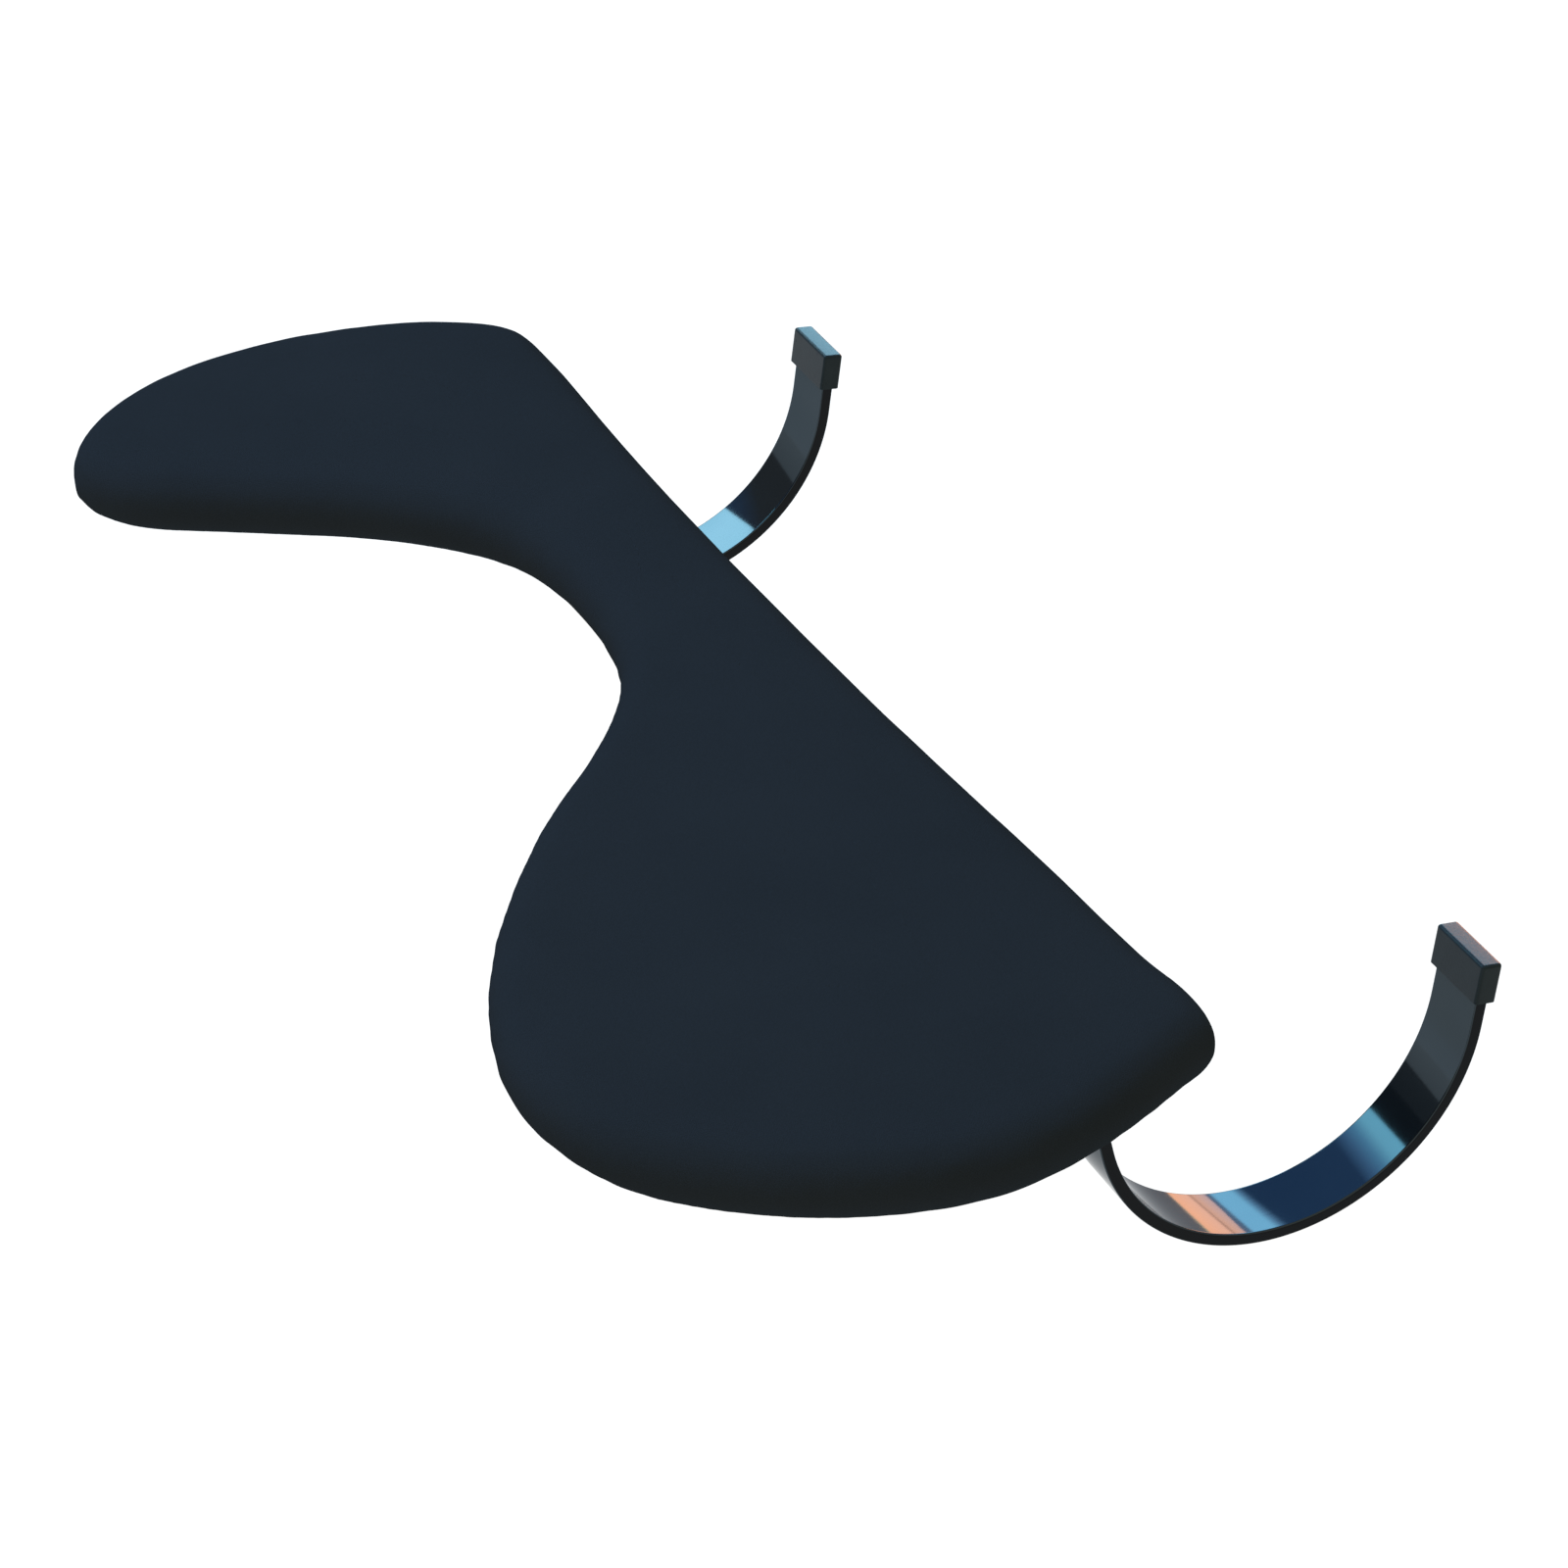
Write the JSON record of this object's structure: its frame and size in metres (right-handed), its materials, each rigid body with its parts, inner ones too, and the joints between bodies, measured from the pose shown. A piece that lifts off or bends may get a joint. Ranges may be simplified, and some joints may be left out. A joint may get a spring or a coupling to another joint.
{
  "type": "violin shoulder rest",
  "caption": "Kidney-shaped padded shoulder rest for a violin, with two rubber-tipped U-shaped spring hooks that slide and swivel under its board.",
  "frame": {"origin": "centre of the whole object's bounding box in plan, level with its lowest point, which is the bottom of the two hooks", "axes": "+Z is the way the padded face looks, +X runs along the pad's straight edge towards the broad lobe, +Y points from the pad towards the hooks' tips"},
  "size_m": [0.2412, 0.1268, 0.0435],
  "materials": {
    "black_fabric": "matte, fine brushed nap with a faint blue sheen",
    "grey_foam": null,
    "birch_plywood": "sanded",
    "grained_black_panel": "fine moulded grain",
    "black_chrome": "dark mirror plating with black edges",
    "black_steel": "satin black oxide",
    "zinc_steel": "plain zinc plate",
    "brass": "turned",
    "black_rubber": "moulded, satin"
  },
  "bodies": {
    "pad": {"cover": "black_fabric", "foam_pad": "grey_foam", "base_board": "birch_plywood", "underside_panel": "grained_black_panel", "panel_screw_1": "black_steel", "panel_screw_2": "black_steel", "panel_screw_3": "black_steel", "panel_screw_4": "black_steel", "panel_screw_5": "black_steel", "panel_screw_6": "black_steel", "broad_threaded_insert": "brass", "broad_friction_disc": "black_rubber", "slim_threaded_insert": "brass", "slim_friction_disc": "black_rubber"},
    "broad_guide": {"broad_saddle": "black_steel"},
    "broad_hook": {"broad_hook_band": "black_chrome", "broad_tip_cap": "black_rubber"},
    "broad_clamp_washer": {"broad_washer": "zinc_steel"},
    "broad_clamp_screw": {"broad_thumb_screw": "black_steel"},
    "slim_guide": {"slim_saddle": "black_steel"},
    "slim_hook": {"slim_hook_band": "black_chrome", "slim_tip_cap": "black_rubber"},
    "slim_clamp_washer": {"slim_washer": "zinc_steel"},
    "slim_clamp_screw": {"slim_thumb_screw": "black_steel"}
  },
  "joints": [
    {"name": "broad_hook_swivel", "type": "hinge", "parent": "pad", "child": "broad_guide", "pos_m": [0.1009, -0.012, 0.0335], "axis": [0, 0, 1], "range_deg": [-30, 30]},
    {"name": "broad_hook_reach", "type": "slide", "parent": "broad_guide", "child": "broad_hook", "axis": [0, 1, 0], "range_m": [-0.005, 0.009]},
    {"name": "broad_screw_drop", "type": "slide", "parent": "pad", "child": "broad_clamp_washer", "axis": [0, 0, 1], "range_m": [-0.0008, 0]},
    {"name": "broad_screw_turn", "type": "hinge", "parent": "broad_clamp_washer", "child": "broad_clamp_screw", "pos_m": [0.1009, -0.012, 0.0335], "axis": [0, 0, 1], "range_deg": [-360, 0]},
    {"name": "slim_hook_swivel", "type": "hinge", "parent": "pad", "child": "slim_guide", "pos_m": [-0.0885, -0.012, 0.0335], "axis": [0, 0, 1], "range_deg": [-30, 30]},
    {"name": "slim_hook_reach", "type": "slide", "parent": "slim_guide", "child": "slim_hook", "axis": [0, 1, 0], "range_m": [-0.0015, 0.0125]},
    {"name": "slim_screw_drop", "type": "slide", "parent": "pad", "child": "slim_clamp_washer", "axis": [0, 0, 1], "range_m": [-0.0008, 0]},
    {"name": "slim_screw_turn", "type": "hinge", "parent": "slim_clamp_washer", "child": "slim_clamp_screw", "pos_m": [-0.0885, -0.012, 0.0335], "axis": [0, 0, 1], "range_deg": [-360, 0]}
  ],
  "couplings": [
    {"joint": "broad_screw_turn", "follows": "broad_screw_drop", "rad_per_m": 7854},
    {"joint": "slim_screw_turn", "follows": "slim_screw_drop", "rad_per_m": 7854}
  ]
}
